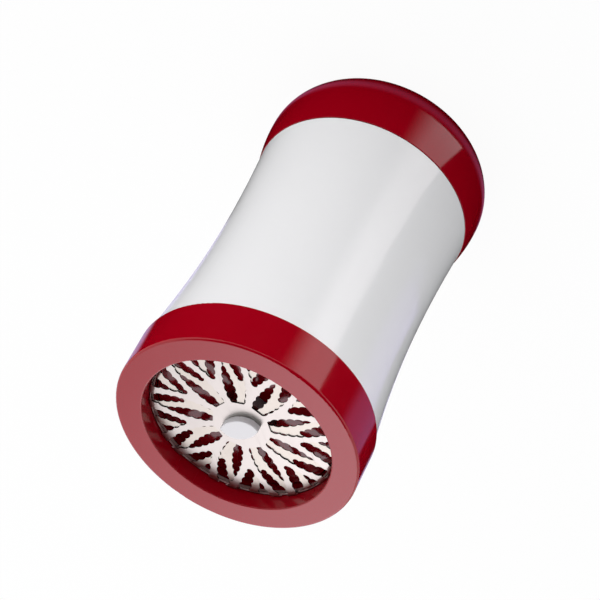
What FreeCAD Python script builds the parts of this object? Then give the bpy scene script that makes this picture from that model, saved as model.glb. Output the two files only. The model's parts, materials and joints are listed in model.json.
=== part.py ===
import FreeCAD, Part
import math
import os

import Sketcher

# A twist mill for fresh herbs, standing on the flat end of its cap, blades up.
# Z is the mill's axis. The origin is the middle of the cap's flat end.

# Driving sizes, in millimetres and degrees
SIZES = [
    ("cap_height", 28.45, "cap shell, flat end to rim"),
    ("cap_step", 0.1, "cap's rim beyond the barrel's foot"),
    ("cap_swell", 1.4, "widest place of the cap beyond its rim"),
    ("cap_belly_height", 16.2, "height of the widest place"),
    ("cap_base_inset", 15.9, "flat end of the cap inside its widest place"),
    ("cap_wall", 1.9, "wall of the cap shell"),
    ("cap_rim_round", 0.15, "edge rounding of the cap's rim"),
    ("cap_gap", 0.15, "gap from the turning cap to the barrel"),
    ("barrel_length", 88.6, "white barrel between cap and ring"),
    ("barrel_wall", 2.4, "wall of the barrel shell"),
    ("barrel_waist_gap", 0.4, "barrel's waist round the herb chamber"),
    ("barrel_waist_height", 34.6, "waist above the barrel's foot"),
    ("barrel_foot_flare", 1.2, "barrel's foot beyond its waist"),
    ("barrel_edge_round", 0.2, "edge rounding of the barrel"),
    ("barrel_socket_depth", 7.0, "straight bore in the foot for the collar"),
    ("barrel_socket_step", 0.8, "step at the end of that bore"),
    ("key_notch_depth", 1.0, "notch in the foot for a collar key"),
    ("key_notch_width", 4.4, "width of that notch"),
    ("key_fit", 0.2, "clearance round a key"),
    ("key_length", 2.6, "height of a key"),
    ("key_count", 3, "keys round the collar"),
    ("neck_gap", 0.3, "gap from the neck to the ring's skirt"),
    ("thread_pitch", 2.2, "pitch of the thread rings"),
    ("thread_depth", 0.5, "depth of the thread rings"),
    ("thread_rise", 1.4, "first thread ring above the shoulder"),
    ("ring_height", 15.4, "blade ring, back lip to face"),
    ("ring_mouth_step", 0.65, "ring's mouth beyond the herb chamber's bore"),
    ("ring_face_width", 8.25, "ring's face, from its mouth to the outside"),
    ("ring_step", 0.6, "ring beyond the barrel beside it"),
    ("ring_gap", 0.3, "gap from the barrel to the ring"),
    ("ring_skirt_wall", 3.2, "skirt of the blade ring"),
    ("ring_face_round", 0.8, "rounding of the face's outer edge"),
    ("ring_mouth_round", 0.4, "rounding of the mouth's edge"),
    ("ring_lip_round", 0.4, "rounding of the back lip"),
    ("blade_recess", 4.65, "blade face below the ring's face"),
    ("chamber_bore", 28.6, "radius inside the herb chamber"),
    ("chamber_wall", 1.8, "wall of the herb chamber"),
    ("chamber_rim_thickness", 1.5, "rim on which the blades rest"),
    ("chamber_foot_gap", 0.6, "chamber's foot above the collar"),
    ("gasket_thickness", 1.0, "soft ring under the blade flange"),
    ("gasket_gap", 0.05, "that ring above the chamber's rim"),
    ("sheet_thickness", 0.3, "etched blade steel"),
    ("blade_play", 0.15, "blade cup inside the ring's mouth"),
    ("outer_cup_depth", 1.35, "outer blade, face to flange"),
    ("flange_width", 3.9, "flange of the outer blade"),
    ("inner_cup_depth", 1.8, "inner blade, face to rim edge"),
    ("inner_play", 0.3, "inner cup inside the outer cup"),
    ("blade_gap", 0.04, "between the two blade faces"),
    ("shoulder_round", 0.9, "pressed shoulder of a blade"),
    ("arm_count", 9, "forked arms of a blade"),
    ("slot_start", 8.83, "inner end of a long slot"),
    ("slot_half_width", 3.17, "long slot at its widest, between teeth"),
    ("slot_widest_at", 17.4, "where it is widest, from the axis"),
    ("slot_flank_radius", 29.0, "curve of its flanks"),
    ("slot_first_tooth", 10.03, "first tooth on a long slot's leading flank"),
    ("fork_start", 18.7, "ends of a short slot's round head"),
    ("fork_head_half", 0.93, "that head at its ends"),
    ("fork_head_radius", 0.97, "curve of that head"),
    ("fork_apex", 17.82, "where the flanks of a short slot would meet"),
    ("fork_slope", 0.5, "rise of its flanks"),
    ("fork_first_tooth", 19.53, "first tooth on a short slot's leading flank"),
    ("tooth_pitch", 2.64, "from tooth to tooth along a long slot"),
    ("fork_pitch", 2.36, "from tooth to tooth along a short slot"),
    ("scallop_radius", 2.05, "round bite between two teeth"),
    ("slot_drop", 0.95, "how far a slot runs down the cup wall"),
    ("cutter_turn", 13.5, "inner blade against the outer one"),
    ("hub_neck_radius", 3.5, "hub in the outer blade"),
    ("hub_fit", 0.07, "running clearance of that neck"),
    ("hub_flat", 3.0, "flats that drive the inner blade"),
    ("hub_seat_fit", 0.05, "clearance of the inner blade's hole"),
    ("hub_length", 9.65, "hub below the outer blade's face"),
    ("head_length", 12.34, "leaf-shaped head, tip to tip"),
    ("head_width", 7.48, "leaf-shaped head, across"),
    ("head_skew", 1.18, "widest place of each side, off the head's middle"),
    ("head_height", 2.2, "head above the blade face"),
    ("head_gap", 0.1, "head above the blade it turns on"),
    ("head_turn", -14.7, "head against the inner blade"),
    ("head_round", 0.3, "edge rounding of the head"),
    ("stack_radius", 8.0, "washers behind the inner blade"),
    ("disc_spring_height", 0.9, "coned spring washer"),
    ("disc_spring_thickness", 0.45, "its steel"),
    ("thrust_thickness", 0.6, "flat washer under it"),
    ("washer_fit", 0.15, "washers round the hub"),
    ("clip_thickness", 0.6, "retaining clips"),
    ("clip_bite", 0.45, "depth of a clip groove"),
    ("clip_width", 1.6, "clip beyond the shaft it grips"),
    ("clip_opening", 60.0, "open side of a clip, degrees"),
    ("clip_fit", 0.05, "clip in its groove"),
    ("drive_hex", 4.0, "spindle across its flats"),
    ("hex_fit", 0.07, "spindle in a hexagonal socket"),
    ("hub_socket_depth", 8.2, "socket in the hub"),
    ("spindle_end_gap", 0.2, "spindle's tip below the socket's end"),
    ("spindle_chamfer", 0.5, "chamfer at the spindle's tip"),
    ("plunger_face_gap", 2.75, "plunger below the inner blade's rim"),
    ("plunger_stop_gap", 0.25, "clip below the hub"),
    ("plunger_seat_gap", 0.1, "plunger below its clip"),
    ("plunger_bore_gap", 0.6, "plunger disc inside the chamber"),
    ("plunger_disc_thickness", 3.0, "plunger disc"),
    ("plunger_floor_thickness", 2.4, "floor of its middle cup"),
    ("plunger_cup_gap", 1.0, "cup round the washers"),
    ("plunger_cup_wall", 1.6, "wall of that cup"),
    ("plunger_guide_length", 14.0, "guide tube on the spindle"),
    ("plunger_guide_radius", 4.6, "outside of the guide tube"),
    ("plunger_hex_fit", 0.08, "plunger on the spindle"),
    ("plunger_rib_count", 6, "stiffening ribs"),
    ("plunger_rib_width", 1.4, "width of a rib"),
    ("plunger_rib_inset", 2.5, "rib short of the disc's edge"),
    ("wiper_thickness", 1.6, "soft ring round the plunger"),
    ("wiper_bite", 1.4, "wiper's seat in the disc"),
    ("wiper_gap", 0.2, "wiper inside the chamber"),
    ("collar_gap", 0.3, "collar inside the barrel's foot"),
    ("collar_wall", 2.1, "wall of the collar's tube"),
    ("collar_depth", 8.6, "collar below the barrel's foot"),
    ("collar_rise", 6.7, "collar inside the barrel"),
    ("collar_ledge_thickness", 3.0, "ledge that carries the cap"),
    ("collar_ledge_width", 1.6, "collar's tube to the tube of the cap core"),
    ("collar_stop_width", 0.6, "stop against the barrel's foot"),
    ("collar_stop_height", 1.2, "height of that stop"),
    ("collar_stop_gap", 0.1, "stop below the barrel's foot"),
    ("oring_radius", 0.7, "O-ring section"),
    ("oring_gap", 0.1, "O-ring inside the barrel's foot"),
    ("oring_rise", 1.6, "O-ring groove above the stop"),
    ("bearing_thickness", 0.5, "slip ring on the ledge"),
    ("bearing_gap", 0.05, "core's flange above the slip ring"),
    ("core_wall", 1.8, "wall of the cap core"),
    ("core_fit", 0.3, "core inside the ledge and its flange in the collar"),
    ("core_flange_thickness", 1.65, "flange that hangs on the ledge"),
    ("core_floor", 2.0, "floor of the cap core"),
    ("core_boss_radius", 6.0, "boss round the spindle"),
    ("core_boss_height", 10.0, "top of that boss above the core's foot"),
    ("spindle_seat", 0.3, "spindle above the core's floor"),
    ("post_height", 4.1, "screw posts in the cap shell"),
    ("post_radius", 3.2, "outside of a screw post"),
    ("post_circle", 18.0, "screw posts from the axis"),
    ("screw_count", 3, "screws between core and cap"),
    ("screw_radius", 1.45, "screw shank"),
    ("screw_head_radius", 2.8, "screw head"),
    ("screw_head_height", 1.7, "screw head"),
    ("screw_socket", 1.3, "drive recess in a head, to its corners"),
    ("screw_socket_depth", 0.9, "depth of that recess"),
    ("screw_grip", 2.6, "cap screw inside its post"),
    ("screw_reach", 8.7, "spindle screw inside the spindle"),
    ("screw_fit", 0.05, "screw in its thread"),
    ("screw_play", 0.2, "screw in its through hole"),
    ("screw_tip_gap", 0.4, "hole beyond a screw's tip"),
    ("coil_radius", 7.6, "plunger spring, middle of the wire"),
    ("coil_wire", 1.2, "wire of the plunger spring"),
    ("coil_turns", 12, "open turns of the plunger spring"),
    ("coil_closed_turns", 1, "closed turns at each of its ends"),
    ("coil_closed_pitch", 1.68, "pitch of the closed turns"),
    ("coil_seat_gap", 0.1, "spring below the plunger"),
]

# Heights of the pieces above the cap's flat end, each from the driving sizes
LEVELS = [
    ("barrel_foot", "Sizes.cap_height + Sizes.cap_gap"),
    ("shoulder", "barrel_foot + Sizes.barrel_length"),
    ("ring_foot", "shoulder + Sizes.ring_gap"),
    ("ring_face", "ring_foot + Sizes.ring_height"),
    ("blade_face", "ring_face - Sizes.blade_recess"),
    ("flange_top", "blade_face - Sizes.outer_cup_depth"),
    ("flange_foot", "flange_top - Sizes.sheet_thickness"),
    ("gasket_foot", "flange_foot - Sizes.gasket_thickness"),
    ("chamber_top", "gasket_foot - Sizes.gasket_gap"),
    ("neck_top", "chamber_top - Sizes.chamber_rim_thickness"),
    ("inner_face", "blade_face - Sizes.sheet_thickness - Sizes.blade_gap"),
    ("inner_back", "inner_face - Sizes.sheet_thickness"),
    ("inner_rim", "inner_face - Sizes.inner_cup_depth"),
    ("disc_spring_foot", "inner_back - Sizes.disc_spring_height"),
    ("thrust_foot", "disc_spring_foot - Sizes.thrust_thickness"),
    ("hub_clip_foot", "thrust_foot - Sizes.clip_thickness"),
    ("hub_foot", "blade_face - Sizes.hub_length"),
    ("stop_foot", "hub_foot - Sizes.plunger_stop_gap - Sizes.clip_thickness"),
    ("plunger_floor", "stop_foot - Sizes.plunger_seat_gap"),
    ("plunger_seat", "plunger_floor - Sizes.plunger_floor_thickness"),
    ("plunger_foot", "plunger_seat - Sizes.plunger_guide_length"),
    ("plunger_face", "inner_rim - Sizes.plunger_face_gap"),
    ("plunger_back", "plunger_face - Sizes.plunger_disc_thickness"),
    ("spindle_tip", "hub_foot + Sizes.hub_socket_depth - Sizes.spindle_end_gap"),
    ("collar_foot", "barrel_foot - Sizes.collar_depth"),
    ("collar_top", "barrel_foot + Sizes.collar_rise"),
    ("ledge_top", "collar_foot + Sizes.collar_ledge_thickness"),
    ("stop_top", "barrel_foot - Sizes.collar_stop_gap"),
    ("oring_foot", "stop_top + Sizes.oring_rise"),
    ("core_foot", "Sizes.cap_wall + Sizes.post_height"),
    ("core_floor_top", "core_foot + Sizes.core_floor"),
    ("core_flange", "ledge_top + Sizes.bearing_thickness + Sizes.bearing_gap"),
    ("spindle_foot", "core_floor_top + Sizes.spindle_seat"),
    ("chamber_foot", "collar_top + Sizes.chamber_foot_gap"),
]

# Radii that several pieces share
RADII = [
    ("chamber_outside", "Sizes.chamber_bore + Sizes.chamber_wall"),
    ("barrel_waist", "chamber_outside + Sizes.barrel_waist_gap + Sizes.barrel_wall"),
    ("barrel_foot", "barrel_waist + Sizes.barrel_foot_flare"),
    ("cap_rim", "barrel_foot + Sizes.cap_step"),
    ("cap_belly", "cap_rim + Sizes.cap_swell"),
    ("cap_base", "cap_belly - Sizes.cap_base_inset"),
    ("ring_mouth", "Sizes.chamber_bore + Sizes.ring_mouth_step"),
    ("ring", "ring_mouth + Sizes.ring_face_width"),
    ("barrel_top", "ring - Sizes.ring_step"),
    ("skirt_bore", "ring - Sizes.ring_skirt_wall"),
    ("neck", "skirt_bore - Sizes.neck_gap"),
    ("neck_bore", "neck - Sizes.barrel_wall"),
    ("foot_bore", "barrel_foot - Sizes.barrel_wall"),
    ("outer_cup", "ring_mouth - Sizes.blade_play"),
    ("outer_cup_bore", "outer_cup - Sizes.sheet_thickness"),
    ("flange", "outer_cup + Sizes.flange_width"),
    ("inner_cup", "outer_cup_bore - Sizes.inner_play"),
    ("inner_cup_bore", "inner_cup - Sizes.sheet_thickness"),
    ("washer_bore", "Sizes.hub_neck_radius + Sizes.washer_fit"),
    ("hub_groove", "Sizes.hub_neck_radius - Sizes.clip_bite"),
    ("hex_corner", "Sizes.drive_hex / sqrt(3)"),
    ("socket_corner", "(Sizes.drive_hex + 2 * Sizes.hex_fit) / sqrt(3)"),
    ("spindle_groove", "Sizes.drive_hex / 2 - Sizes.clip_bite / 2"),
    ("plunger_disc", "Sizes.chamber_bore - Sizes.plunger_bore_gap"),
    ("plunger_cup", "Sizes.stack_radius + Sizes.plunger_cup_gap"),
    ("plunger_cup_outside", "plunger_cup + Sizes.plunger_cup_wall"),
    ("wiper_seat", "plunger_disc - Sizes.wiper_bite"),
    ("wiper", "Sizes.chamber_bore - Sizes.wiper_gap"),
    ("collar", "foot_bore - Sizes.collar_gap"),
    ("collar_bore", "collar - Sizes.collar_wall"),
    ("core", "collar_bore - Sizes.collar_ledge_width"),
    ("ledge_bore", "core + Sizes.core_fit"),
    ("core_flange", "collar_bore - Sizes.core_fit"),
    ("oring_seat", "foot_bore - Sizes.oring_gap - 2 * Sizes.oring_radius"),
]

doc = FreeCAD.newDocument("HerbMill")


def add_sheet(name, rows):
    """A sheet with one named value to a row; a formula may use the names above it."""
    sheet = doc.addObject("Spreadsheet::Sheet", name)
    for row, (alias, content, *note) in enumerate(rows, start=1):
        formula = isinstance(content, str)
        sheet.set(f"A{row}", note[0] if note else alias.replace("_", " "))
        sheet.set(f"B{row}", f"={content}" if formula else str(content))
        sheet.setAlias(f"B{row}", alias)
    doc.recompute()
    return sheet


sizes = add_sheet("Sizes", SIZES)
levels = add_sheet("Levels", LEVELS)
radii = add_sheet("Radii", RADII)


def value(expression):
    """The number that an expression on the sheets has now."""
    return float(sizes.evalExpression(expression))


def add_body(label, level="0", turn="0"):
    """One piece, drawn from its own foot and placed at its level, turned about the axis."""
    body = doc.addObject("PartDesign::Body", label)
    body.Label = label
    body.setExpression("Placement.Base.z", level)
    body.setExpression("Placement.Rotation.Angle", turn)
    return body


def attach(feature, body, role, height="0", turn="0", across="0", along="0"):
    """Sets a sketch or primitive on a plane of its own body."""
    plane = next(item for item in body.Origin.OriginFeatures if item.Role == role)
    feature.AttachmentSupport = [(plane, "")]
    feature.MapMode = "FlatFace"
    feature.setExpression("AttachmentOffset.Base.x", across)
    feature.setExpression("AttachmentOffset.Base.y", along)
    feature.setExpression("AttachmentOffset.Base.z", height)
    feature.setExpression("AttachmentOffset.Rotation.Angle", turn)
    return feature


def add_sketch(body, name, role="XZ_Plane", height="0", turn="0"):
    sketch = body.newObject("Sketcher::SketchObject", f"{body.Label}_{name}")
    return attach(sketch, body, role, height, turn)


def arc_between(start, end, centre_height):
    """The short arc between two points whose centre lies at a given height."""
    rise = (start.y - centre_height) ** 2 - (end.y - centre_height) ** 2
    across = (start.x**2 - end.x**2 + rise) / (2 * (start.x - end.x))
    return short_arc(start, end, FreeCAD.Vector(across, centre_height, 0))


def bite_between(start, end, radius):
    """The short arc of a given radius that bulges to the right of the way from start to end."""
    chord = end - start
    inward = FreeCAD.Vector(-chord.y, chord.x, 0).normalize()
    reach = math.sqrt(radius**2 - (chord.Length / 2) ** 2)
    return short_arc(start, end, (start + end) * 0.5 + inward * reach)


def short_arc(start, end, centre):
    """The arc of under half a turn, and whether it runs from start to end."""
    angles = [math.atan2(p.y - centre.y, p.x - centre.x) for p in (start, end)]
    forward = (angles[1] - angles[0]) % (2 * math.pi) < math.pi
    first, last = angles if forward else reversed(angles)
    circle = Part.Circle(centre, FreeCAD.Vector(0, 0, 1), start.distanceToPoint(centre))
    return Part.ArcOfCircle(circle, first, last), forward


def draw_outline(sketch, corners):
    """A closed outline of corners (across, up), each with the shape of the edge that follows.

    No shape is a straight edge, ("height", h) an arc centred at that height, and
    ("radius", r) an arc that bulges outwards when the corners run anticlockwise.
    """
    places = [FreeCAD.Vector(value(across), value(up), 0) for across, up, *_ in corners]
    items = []
    for index, (_, _, *shape) in enumerate(corners):
        start, end = places[index], places[(index + 1) % len(places)]
        forward = True
        if not shape:
            curve = Part.LineSegment(start, end)
        elif shape[0] == "height":
            curve, forward = arc_between(start, end, value(shape[1]))
        else:
            curve, forward = bite_between(start, end, value(shape[1]))
        item = sketch.addGeometry(curve, False)
        items.append((item, 1, 2) if forward else (item, 2, 1))
    rules = []
    for index, (across, up, *shape) in enumerate(corners):
        item, first, last = items[index]
        after, after_first, _ = items[(index + 1) % len(items)]
        rules.append((Sketcher.Constraint("Coincident", item, last, after, after_first), None))
        rules.extend(point_rules(item, first, across, up))
        if shape and shape[0] == "height":
            rules.append((Sketcher.Constraint("DistanceY", -1, 1, item, 3, value(shape[1])),
                          shape[1]))
        elif shape:
            rules.append((Sketcher.Constraint("Radius", item, value(shape[1])), shape[1]))
    add_rules(sketch, rules)


def point_rules(item, end, across, up):
    """Constraints that hold a point at two named distances from the sketch's origin."""
    rules = []
    for kind, axis, distance in (("DistanceX", -2, across), ("DistanceY", -1, up)):
        if distance == "0":
            rules.append((Sketcher.Constraint("PointOnObject", item, end, axis), None))
        else:
            rules.append((Sketcher.Constraint(kind, -1, 1, item, end, value(distance)), distance))
    return rules


def add_rules(sketch, rules):
    """Adds constraints at once and ties each to its expression."""
    indices = sketch.addConstraint([constraint for constraint, _ in rules])
    for index, (_, expression) in zip(indices, rules):
        if expression:
            sketch.setExpression(f"Constraints[{index}]", expression)


def revolve(body, corners, name="profile", kind="PartDesign::Revolution", angle="360"):
    """Turns an outline of radius and height about the axis, or cuts it away."""
    sketch = add_sketch(body, name)
    draw_outline(sketch, corners)
    feature = body.newObject(kind, f"{sketch.Label}_turned")
    feature.Profile = sketch
    feature.ReferenceAxis = (sketch, ["V_Axis"])
    feature.setExpression("Angle", angle)
    sketch.Visibility = False
    doc.recompute()
    return feature


def ring_of(inner, outer, foot, top):
    """Outline of a plain ring."""
    return [(inner, foot), (outer, foot), (outer, top), (inner, top)]


def primitive(body, kind, name, bindings, count=None, **place):
    """A primitive solid added to or cut from a body, repeated round the axis if asked."""
    feature = body.newObject(kind, f"{body.Label}_{name}")
    attach(feature, body, "XY_Plane", **place)
    for key, expression in bindings.items():
        feature.setExpression(key, expression)
    doc.recompute()
    return repeat(body, [feature], count) if count else feature


def repeat(body, features, count):
    """Repeats features evenly round the axis."""
    pattern = body.newObject("PartDesign::PolarPattern", f"{features[0].Label}_round")
    pattern.Originals = features
    axis = next(item for item in body.Origin.OriginFeatures if item.Role == "Z_Axis")
    pattern.Axis = (axis, [""])
    pattern.Angle = 360
    pattern.setExpression("Occurrences", count)
    body.Tip = pattern
    doc.recompute()
    return pattern


def hexagon(body, kind, name, corner, length, foot="0", turn="0"):
    """A hexagonal bar or socket along the axis."""
    feature = body.newObject(kind, f"{body.Label}_{name}")
    attach(feature, body, "XY_Plane", height=foot, turn=turn)
    feature.Polygon = 6
    feature.setExpression("Circumradius", corner)
    feature.setExpression("Height", length)
    doc.recompute()
    return feature


def round_edges(body, radius, name, *rings):
    """Rounds the circular edges that lie at the given radii and heights."""
    wanted = [(value(across), value(height)) for across, height in rings]
    base = body.Tip
    names = []
    for index, edge in enumerate(base.Shape.Edges, start=1):
        curve = edge.Curve
        if not isinstance(curve, Part.Circle):
            continue
        for across, height in wanted:
            if abs(curve.Radius - across) < 1e-4 and abs(curve.Center.z - height) < 1e-4:
                names.append(f"Edge{index}")
    if len(names) != len(wanted):
        raise RuntimeError(f"{body.Label}: {len(names)} of {len(wanted)} edges to round")
    fillet = body.newObject("PartDesign::Fillet", f"{body.Label}_{name}")
    fillet.Base = (base, names)
    fillet.setExpression("Radius", radius)
    doc.recompute()
    return fillet


def above(level, foot):
    """A level counted from the foot of the piece that is drawn."""
    return f"Levels.{level} - Levels.{foot}"


# Barrel and herb chamber
def build_barrel_shell():
    """Waisted shell with a neck for the blade ring and a socket for the collar."""
    body = add_body("barrel_shell", "Levels.barrel_foot")
    waist = "Sizes.barrel_waist_height"
    inner_waist = "Radii.barrel_waist - Sizes.barrel_wall"
    inner_top = "Radii.barrel_top - Sizes.barrel_wall"
    under_shoulder = "Sizes.barrel_length - Sizes.barrel_wall"
    socket = "Sizes.barrel_socket_depth"
    revolve(body, [
        ("Radii.barrel_foot", "0", "height", waist),
        ("Radii.barrel_waist", waist, "height", waist),
        ("Radii.barrel_top", "Sizes.barrel_length"),
        ("Radii.neck", "Sizes.barrel_length"),
        ("Radii.neck", above("neck_top", "barrel_foot")),
        ("Radii.neck_bore", above("neck_top", "barrel_foot")),
        ("Radii.neck_bore", under_shoulder),
        (inner_top, under_shoulder, "height", waist),
        (inner_waist, waist, "height", waist),
        ("Radii.foot_bore - Sizes.barrel_socket_step", socket),
        ("Radii.foot_bore", socket),
        ("Radii.foot_bore", "0"),
    ])
    round_edges(body, "Sizes.barrel_edge_round", "rounded",
                ("Radii.barrel_foot", "0"),
                ("Radii.barrel_top", "Sizes.barrel_length"))
    cut_thread(body, "Radii.neck - Sizes.thread_depth", "Radii.neck + 1",
               "Sizes.barrel_length + Sizes.thread_rise")
    primitive(body, "PartDesign::SubtractiveBox", "notch", {
        "Length": "Sizes.key_notch_depth * 2",
        "Width": "Sizes.key_notch_width",
        "Height": socket,
    }, "Sizes.key_count", across="Radii.foot_bore - Sizes.key_notch_depth",
        along="-Sizes.key_notch_width / 2")


def cut_thread(body, inner, outer, foot):
    """Two plain ring grooves that stand for the thread."""
    half = "Sizes.thread_pitch / 2"
    for turn in range(2):
        low = f"{foot} + {turn} * Sizes.thread_pitch"
        revolve(body, ring_of(inner, outer, low, f"{low} + {half}"), f"thread_{turn + 1}",
                "PartDesign::Groove")


def build_chamber():
    """Straight inner tube with a rim on the barrel's neck."""
    body = add_body("chamber", "Levels.chamber_foot")
    top = above("chamber_top", "chamber_foot")
    under_rim = above("neck_top", "chamber_foot")
    revolve(body, [
        ("Sizes.chamber_bore", "0"),
        ("Radii.chamber_outside", "0"),
        ("Radii.chamber_outside", under_rim),
        ("Radii.neck", under_rim),
        ("Radii.neck", top),
        ("Sizes.chamber_bore", top),
    ])


# Blade ring and blades
def build_blade_ring():
    """Ring with a deep mouth in front and a skirt over the neck."""
    body = add_body("blade_ring", "Levels.ring_foot")
    seat = above("flange_top", "ring_foot")
    revolve(body, [
        ("Radii.skirt_bore", "0"),
        ("Radii.ring", "0"),
        ("Radii.ring", "Sizes.ring_height"),
        ("Radii.ring_mouth", "Sizes.ring_height"),
        ("Radii.ring_mouth", seat),
        ("Radii.skirt_bore", seat),
    ])
    round_edges(body, "Sizes.ring_lip_round", "lip", ("Radii.ring", "0"))
    round_edges(body, "Sizes.ring_face_round", "face_edge",
                ("Radii.ring", "Sizes.ring_height"))
    round_edges(body, "Sizes.ring_mouth_round", "mouth_edge",
                ("Radii.ring_mouth", "Sizes.ring_height"))
    cut_thread(body, "Radii.skirt_bore - 1", "Radii.skirt_bore + Sizes.thread_depth",
               "Sizes.thread_rise + Sizes.thread_pitch / 2")


def build_blade_gasket():
    """Soft ring between the chamber's rim and the outer blade's flange."""
    body = add_body("blade_gasket", "Levels.gasket_foot")
    revolve(body, ring_of("Sizes.chamber_bore", "Radii.flange", "0", "Sizes.gasket_thickness"))


def long_flank(across):
    """Half width of a long slot's row of teeth at a distance from the axis."""
    curve = "Sizes.slot_flank_radius"
    return (f"Sizes.slot_half_width - {curve}"
            f" + sqrt(pow({curve}; 2) - pow({across} - Sizes.slot_widest_at; 2))")


def short_flank(across):
    """Half width of a short slot's row of teeth at a distance from the axis."""
    return f"({across} - Sizes.fork_apex) * Sizes.fork_slope"


def teeth(flank, first, pitch, rim):
    """Places of the teeth along a flank, up to the first one past the blade's rim."""
    places = []
    while not places or value(places[-1][0]) < value(rim):
        across = f"{first} + {len(places)} * {pitch}"
        places.append((across, flank(across)))
    return places


def slot_corners(leading, trailing, start, hand, head=()):
    """Outline of a slot on the X axis: two rows of teeth from its inner end out past the rim."""
    rows = [[start, *leading], [start, *trailing]]
    if hand < 0:
        rows.reverse()
    below, above_axis = rows
    bite = ("radius", "Sizes.scallop_radius")
    corners = [(across, f"-({up})", *bite) for across, up in below[:-1]]
    corners.append((below[-1][0], f"-({below[-1][1]})"))
    corners.extend((across, up, *bite) for across, up in reversed(above_axis[1:]))
    corners.append((*above_axis[0], *head))
    return corners


def cut_slots(body, cup, face, hand):
    """Cuts the long and the short slots through a blade's face and down its cup wall."""
    rim = f"{cup} + Sizes.sheet_thickness"
    half_step = "Sizes.tooth_pitch / 2"
    long_start = ("Sizes.slot_start", long_flank("Sizes.slot_start"))
    long_slot = slot_corners(
        teeth(long_flank, f"Sizes.slot_first_tooth + {half_step}", "Sizes.tooth_pitch", rim),
        teeth(long_flank, "Sizes.slot_first_tooth", "Sizes.tooth_pitch", rim),
        long_start, hand)
    half_step = "Sizes.fork_pitch / 2"
    short_start = ("Sizes.fork_start", "Sizes.fork_head_half")
    short_slot = slot_corners(
        teeth(short_flank, "Sizes.fork_first_tooth", "Sizes.fork_pitch", rim),
        teeth(short_flank, f"Sizes.fork_first_tooth + {half_step}", "Sizes.fork_pitch", rim),
        short_start, hand, ("radius", "Sizes.fork_head_radius"))
    cuts = []
    for name, corners, turn in (("long_slot", long_slot, "180 / Sizes.arm_count"),
                                ("short_slot", short_slot, "0")):
        sketch = add_sketch(body, name, "XY_Plane", face, turn)
        draw_outline(sketch, corners)
        pocket = body.newObject("PartDesign::Pocket", f"{sketch.Label}_cut")
        pocket.Profile = sketch
        pocket.setExpression("Length", "Sizes.slot_drop")
        sketch.Visibility = False
        doc.recompute()
        cuts.append(pocket)
    repeat(body, cuts, "Sizes.arm_count")


def build_outer_blade():
    """Pressed cup with a flange; it stands still in the ring."""
    body = add_body("outer_blade", "Levels.flange_foot")
    face = above("blade_face", "flange_foot")
    back = f"{face} - Sizes.sheet_thickness"
    hole = "Sizes.hub_neck_radius + Sizes.hub_fit"
    revolve(body, [
        (hole, back),
        ("Radii.outer_cup_bore", back),
        ("Radii.outer_cup_bore", "0"),
        ("Radii.flange", "0"),
        ("Radii.flange", "Sizes.sheet_thickness"),
        ("Radii.outer_cup", "Sizes.sheet_thickness"),
        ("Radii.outer_cup", face),
        (hole, face),
    ])
    round_edges(body, "Sizes.shoulder_round", "shoulder", ("Radii.outer_cup", face))
    round_edges(body, "Sizes.shoulder_round - Sizes.sheet_thickness", "shoulder_inside",
                ("Radii.outer_cup_bore", back))
    cut_slots(body, "Radii.outer_cup", face, 1)


def build_inner_blade():
    """Pressed cup that turns under the outer blade, its teeth the mirror image of those."""
    body = add_body("inner_blade", "Levels.inner_rim", "Sizes.cutter_turn")
    face = "Sizes.inner_cup_depth"
    back = f"{face} - Sizes.sheet_thickness"
    hole = "Sizes.hub_neck_radius + Sizes.hub_seat_fit"
    revolve(body, [
        (hole, back),
        ("Radii.inner_cup_bore", back),
        ("Radii.inner_cup_bore", "0"),
        ("Radii.inner_cup", "0"),
        ("Radii.inner_cup", face),
        (hole, face),
    ])
    round_edges(body, "Sizes.shoulder_round", "shoulder", ("Radii.inner_cup", face))
    round_edges(body, "Sizes.shoulder_round - Sizes.sheet_thickness", "shoulder_inside",
                ("Radii.inner_cup_bore", back))
    cut_slots(body, "Radii.inner_cup", face, -1)
    add_flats(body, back, "Sizes.sheet_thickness", "Sizes.hub_seat_fit")


def add_flats(body, foot, height, fit):
    """Fills the round hole at two sides, so that it takes the hub's flats."""
    chord = "sqrt(pow(Sizes.hub_neck_radius + Sizes.sheet_thickness; 2) - pow(Sizes.hub_flat; 2))"
    for name, across in (("flat_1", f"Sizes.hub_flat + {fit}"),
                         ("flat_2", "-Sizes.hub_neck_radius - Sizes.sheet_thickness")):
        primitive(body, "PartDesign::AdditiveBox", name, {
            "Length": f"Sizes.hub_neck_radius + Sizes.sheet_thickness - Sizes.hub_flat - {fit}",
            "Width": f"2 * {chord}",
            "Height": height,
        }, across=across, along=f"-{chord}", height=foot)


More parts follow.
